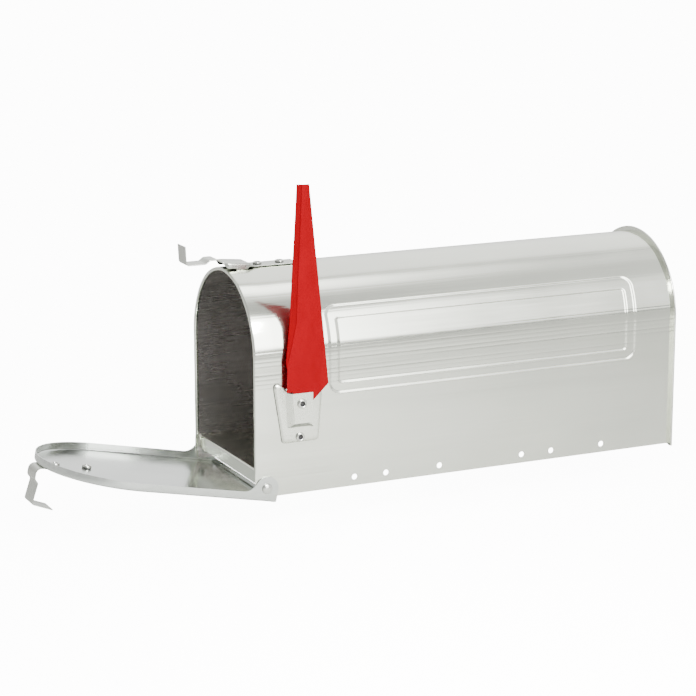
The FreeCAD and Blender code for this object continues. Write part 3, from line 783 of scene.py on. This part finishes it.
# ---------------------------------------------------------------- flag bracket
def rounded_loop(corners, radius, steps=5):
    """A closed outline with its corners rounded."""
    loop = []
    count = len(corners)
    for index in range(count):
        corner = Vector(corners[index])
        back = (Vector(corners[index - 1]) - corner).normalized()
        ahead = (Vector(corners[(index + 1) % count]) - corner).normalized()
        half = back.angle(ahead) / 2
        reach = radius / math.tan(half)
        start, end = corner + back * reach, corner + ahead * reach
        for step in range(steps + 1):
            share = step / steps
            loop.append(start.lerp(corner, share).lerp(corner.lerp(end, share), share))
    return loop


def drawn_in(loop, centre, inset):
    """A closed outline with each point moved towards a centre by the same distance."""
    return [point + (centre - point).normalized() * inset for point in loop]


def bracket_tray():
    """A pressed tray with rounded corners and sloping sides, hollow towards the box."""
    corners = [(-28, 20.5), (-18.5, -40.5), (21, -40.5), (25, 9), (13, 11.5), (-12, 12), (-22, 21)]
    loop = rounded_loop([(PIVOT.y + y * MM, PIVOT.z + z * MM) for y, z in corners], 4.5 * MM)
    centre = Vector((PIVOT.y, PIVOT.z - 12 * MM))
    slope = [(0, 0.3), (0.5, 1.1), (1.8, 2.2), (3.4, 2.85), (5.2, 3.0)]
    outside = [[(RADIUS + height * MM, p.x, p.y) for p in drawn_in(loop, centre, inset * MM)]
               for inset, height in reversed(slope)]
    inside = [[(RADIUS + max(height * MM - SHEET, 0), p.x, p.y)
               for p in drawn_in(loop, centre, inset * MM + SHEET)] for inset, height in slope]
    return tube_mesh(np.array(outside + inside))


def bracket_boss():
    """The pocket over the flag's heel: sloped walls at the front and the foot, open above and behind.

    The foot's slope is steeper at the back, where the lowered flag passes.
    """
    rise, low = 8.2 * MM, 2.3 * MM
    left, foot, head, back = -16.4, -25.2, 10.5, 11.8
    slope_left = 6.6
    rings = []
    for v in np.concatenate([np.linspace(0, 0.24, 25), np.linspace(0.24, 1, 10)[1:]]):
        edge = left + 2.2 * (1 - v)
        outside, inside = [], []
        for u in np.concatenate([np.linspace(0, 0.27, 25), np.linspace(0.27, 1, 18)[1:]]):
            y = edge + (back - edge) * u
            z = foot + (head - foot) * v
            slope_foot = min(5.2, -foot - 12.7 - 0.98 * y)
            share = min((y - edge) / slope_left, (z - foot) / slope_foot, 1)
            share -= 0.05 * math.exp(-((share - 0.93) / 0.025) ** 2)
            height = low + (rise - low) * share
            outside.append((RADIUS + height, PIVOT.y + y * MM, PIVOT.z + z * MM))
            inside.append((RADIUS + height - SHEET, PIVOT.y + y * MM, PIVOT.z + z * MM))
        rings.append(outside + inside[::-1])
    return tube_mesh(np.array(rings))


def flag_bracket():
    """The tray and its pocket; the tray's edge and the pocket's foot get painted shade."""
    item = new_object("bracket", merged(bracket_tray(), bracket_boss()))
    finish_piece(item, SATIN, "box", "satin_aluminium", "flag_bracket", angle=24)
    item.data.materials.append(PAINTED_EDGE_SHADE)
    item.data.materials.append(PAINTED_FOOT_SHADE)
    for face in item.data.polygons:
        rise, outward = face.center.x - RADIUS, face.normal
        # painted shade: the tray's low side faces get a painted contact shadow, the pocket's downward facet
        # a darker satin
        if rise < 1.1 * MM and abs(outward.x) < 0.95:
            face.material_index = 1
        # painted shade on the pocket's downward foot facet
        elif rise > 2.6 * MM and outward.z < -0.4:
            face.material_index = 2


# ---------------------------------------------------------------- rivets
def dome(radius, height):
    """Half profile of a rounded head, from its axis outwards."""
    return [(radius * math.sin(angle), height * (0.15 + 0.85 * math.cos(angle)))
            for angle in np.linspace(0, math.pi / 2, 9)] + [(radius * 0.97, 0)]


def rolled_end(radius, height, hollow):
    """Half profile of a hollow rivet end rolled outwards and under, from its axis outwards."""
    middle = (radius + hollow) / 2
    half = (radius - hollow) / 2
    lip = [(middle - half * math.cos(angle), height * (0.35 + 0.65 * math.sin(angle)))
           for angle in np.linspace(0, 1.2 * math.pi, 13)]
    return [(0, 0.2 * MM), (hollow * 0.9, 0.2 * MM), (hollow, 0.5 * MM)] + lip + [(radius * 0.72, 0)]


def rivet(name, body, base, direction, grip, shank, head, tail, hollows):
    """A rivet from its head's seat: head profile outwards, then the shank, then the tail profile.

    hollows gives the bore's radius at the head and at the tail, or 0 where that end is solid.
    """
    back = [(radius, -grip - height) for radius, height in reversed(tail)]
    profile = head + [(shank, 0), (shank, -grip)] + back
    points, faces = turned(profile, base, direction)
    item = new_object(name + "_visible", (points.reshape(-1, 3), faces), weld=0.005 * MM)
    finish_piece(item, RIVET_METAL, body, "rivet_metal", name, angle=50)
    # second slot: painted shade for the bores and painted contact shadow at the heads' feet
    item.data.materials.append(PAINTED_RIVET_SHADE)
    axis = Vector(direction).normalized()
    for face in item.data.polygons:
        rise = (face.center - Vector(base)).dot(axis)
        away = (face.center - Vector(base) - axis * rise).length
        for height, bore in ((rise, hollows[0]), (-grip - rise, hollows[1])):
            # faces in a bore get painted shade, faces under the rolled lip at the head's foot a painted
            # contact shadow
            in_bore = away < bore * 1.15 and 0 < height < 1.7 * MM
            in_painted_contact_shadow = bore and 0 < height < 0.8 * MM and away > shank
            if in_bore or in_painted_contact_shadow:
                face.material_index = 1


def rivets():
    """All eight rivets: the hinges', the flag's pivot, the bracket's, the catch's two and the pull's two."""
    small, large = 2.1 * MM, 2.5 * MM
    bore = 1.9 * MM
    tail = rolled_end(3.9 * MM, 2.0 * MM, bore)
    for side, name in ((1, "right"), (-1, "left")):
        outer = side * (DOOR_RADIUS + 0.3 * MM)
        rivet(f"hinge_rivet_{name}", "box", (outer, HINGE.y, HINGE.z), (side, 0, 0),
              3.3 * MM, large, dome(5.2 * MM, 2.4 * MM), tail, (0, bore))
    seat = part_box("flag_bracket")[1].x
    rivet("flag_pivot_rivet", "box", (seat, PIVOT.y, PIVOT.z), (1, 0, 0), 9.0 * MM, large,
          rolled_end(4.9 * MM, 2.2 * MM, 2.3 * MM), tail, (2.3 * MM, bore))
    low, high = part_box("bracket_rivet")
    rivet("bracket_rivet", "box", (RADIUS + 3 * MM, PIVOT.y, (low.z + high.z) / 2), (1, 0, 0), 3.8 * MM,
          small, rolled_end(4.6 * MM, 2.1 * MM, 2.1 * MM), tail, (2.1 * MM, bore))
    for name in ("front", "rear"):
        low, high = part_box(f"catch_rivet_{name}")
        rivet(f"catch_rivet_{name}", "box", (0, (low.y + high.y) / 2, CROWN + STRAP), (0, 0, 1), 2.15 * MM,
              small, rolled_end(4.5 * MM, 2.3 * MM, 2.1 * MM), rolled_end(3.1 * MM, 2.0 * MM, 1.5 * MM),
              (2.1 * MM, 1.5 * MM))
    for name in ("low", "high"):
        low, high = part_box(f"pull_rivet_{name}")
        middle = DOOR_TURN.inverted() @ ((low + high) / 2 - HINGE)
        outward = DOOR_TURN @ Vector((0, -1, 0))
        seat = in_door(0, DOOR_FACE - STRAP, middle.z)
        rivet(f"pull_rivet_{name}", "door", seat, outward, 2.0 * MM, small,
              dome(4.4 * MM, 2.2 * MM), rolled_end(4.7 * MM, 3.0 * MM, 2.2 * MM), (0, 2.2 * MM))


def plain_nodes():
    """Small rings whose modelled shape is already right, in the rivets' metal."""
    for name in ("hinge_washer_right", "hinge_washer_left", "flag_spacer"):
        ring = frame["nodes"][name]
        ring.data.materials.clear()
        ring.data.materials.append(RIVET_METAL)


# ---------------------------------------------------------------- stage, light and camera
def stage_floor():
    """A plain pale floor, which shows white to the camera and mid-grey to the metal."""
    size = 30
    level = cad_box[0].z - 28 * MM
    corners = [(-size, -size, level), (size, -size, level), (size, size, level), (-size, size, level)]
    white = 12.0
    floor = new_object("floor", (np.array(corners), [(0, 1, 2, 3)]))
    material = bpy.data.materials.new("pale_floor")
    material.use_nodes = True
    shader = material.node_tree.nodes["Principled BSDF"]
    add = node_maker(material)
    seen = add("LightPath").outputs["Is Camera Ray"]
    material.node_tree.links.new(ranged(add, seen, 0.0, white, 0.0, 1.0), shader.inputs["Emission Strength"])
    shader.inputs["Emission Color"].default_value = (1, 1, 0.995, 1)
    shader.inputs["Base Color"].default_value = (0.55, 0.55, 0.54, 1)
    shader.inputs["Roughness"].default_value = 1.0
    shader.inputs["Specular IOR Level"].default_value = 0.0
    floor.data.materials.append(material)


def level_ramp(add, value, stops, top):
    """A grey level that follows a value through (value, level) stops, as a share of the top level."""
    ramp = add("ValToRGB", Fac=value)
    elements = ramp.color_ramp.elements
    elements[0].position, elements[1].position = stops[0][0], stops[-1][0]
    for place, _ in stops[1:-1]:
        elements.new(place)
    for element, (_, level) in zip(elements, stops):
        element.color = (level / top, level / top, level / top, 1)
    return ramp.outputs["Color"]


def studio_world():
    """A soft room in long bands about the box's length, with two bright panels on the right and above.

    The bands are (degrees up from the right, brightness). The panels end behind the box and fade in front of
    it. The camera itself sees plain white.
    """
    world = bpy.data.worlds.new("studio")
    bpy.context.scene.world = world
    world.use_nodes = True
    add = node_maker(world)
    link = world.node_tree.links.new
    split = add("SeparateXYZ", Vector=add("TexCoord").outputs["Generated"])
    turn = add("Math")
    turn.operation = "ARCTAN2"
    link(split.outputs["Z"], turn.inputs[0])
    link(split.outputs["X"], turn.inputs[1])
    share = ranged(add, turn.outputs[0], 0.0, 1.0, 0.0, math.pi)
    top = 10.0
    plain = [(0, 0.25), (2.5, 0.3), (4.5, 1.7), (50, 1.7), (56, 1.2), (78, 1.15), (84, 1.4), (100, 1.4),
             (104, 1.05), (108, 1.5), (114, 2.1), (150, 2.2), (165, 1.95), (178, 1.6), (180, 0.6)]
    panels = [(0, 0.15), (2, 0.2), (3, 10), (50, 9), (53.5, 0.6), (62, 0.7), (74, 0.9), (82, 2.0), (87, 5),
              (97, 6), (102, 1.3), (106, 1.3), (112, 2.1), (150, 2.2), (165, 1.95), (178, 1.6), (180, 0.6)]
    quiet = level_ramp(add, share, [(angle / 180, level) for angle, level in plain], top)
    strong = level_ramp(add, share, [(angle / 180, level) for angle, level in panels], top)
    length = ranged(add, split.outputs["Y"], 0.0, 1.0, -1.0, 1.0)
    reach = [(-0.1, 0), (0.1, 1), (0.40, 1), (0.431, 0.37), (0.456, 0.09), (0.487, 0)]
    window = level_ramp(add, length, [((1 + y) / 2, level) for y, level in reach], 1)
    dim = level_ramp(add, length, [((1 + y) / 2, level) for y, level in ((-0.25, 0.5), (0.2, 1))], 1)
    sky = mixed(add, window, quiet, strong)
    background = world.node_tree.nodes["Background"]
    room = mixed(add, 1.0, sky, dim, "MULTIPLY")
    seen = add("LightPath").outputs["Is Camera Ray"]
    link(mixed(add, seen, room, (1.2, 1.2, 1.194, 1)), background.inputs["Color"])
    background.inputs["Strength"].default_value = top


def soft_lamp():
    """One soft lamp, which hangs over the floor on the box's right and points straight down."""
    lamp = bpy.data.lights.new("floor_box", "AREA")
    lamp.shape = "SQUARE"
    lamp.size = 0.3
    lamp.energy = 13
    item = bpy.data.objects.new("floor_box", lamp)
    bpy.context.scene.collection.objects.link(item)
    item.location = (0.60, -0.22, 0.50)


def place_camera(azimuth, elevation, distance, lens, target):
    """A camera turned about the upright axis from the front, as the fit to the photo gave it."""
    camera = bpy.data.objects.new("camera", bpy.data.cameras.new("camera"))
    bpy.context.scene.collection.objects.link(camera)
    turn, rise = math.radians(azimuth), math.radians(elevation)
    back = Vector((math.sin(turn) * math.cos(rise), -math.cos(turn) * math.cos(rise), math.sin(rise)))
    camera.location = Vector(target) + back * distance
    camera.rotation_euler = back.to_track_quat("Z", "Y").to_euler()
    camera.data.sensor_width = 36
    camera.data.lens = lens
    camera.data.clip_end = 100
    bpy.context.scene.camera = camera


body_shell()
floor_pan()
back_panel()
door_panel()
door_pull()
body_catch()
flag()
flag_bracket()
rivets()
plain_nodes()
stage_floor()
studio_world()
soft_lamp()
place_camera(azimuth=64.658, elevation=13.143, distance=2.347, lens=118.67, target=(0, -0.10186, 0.095902))
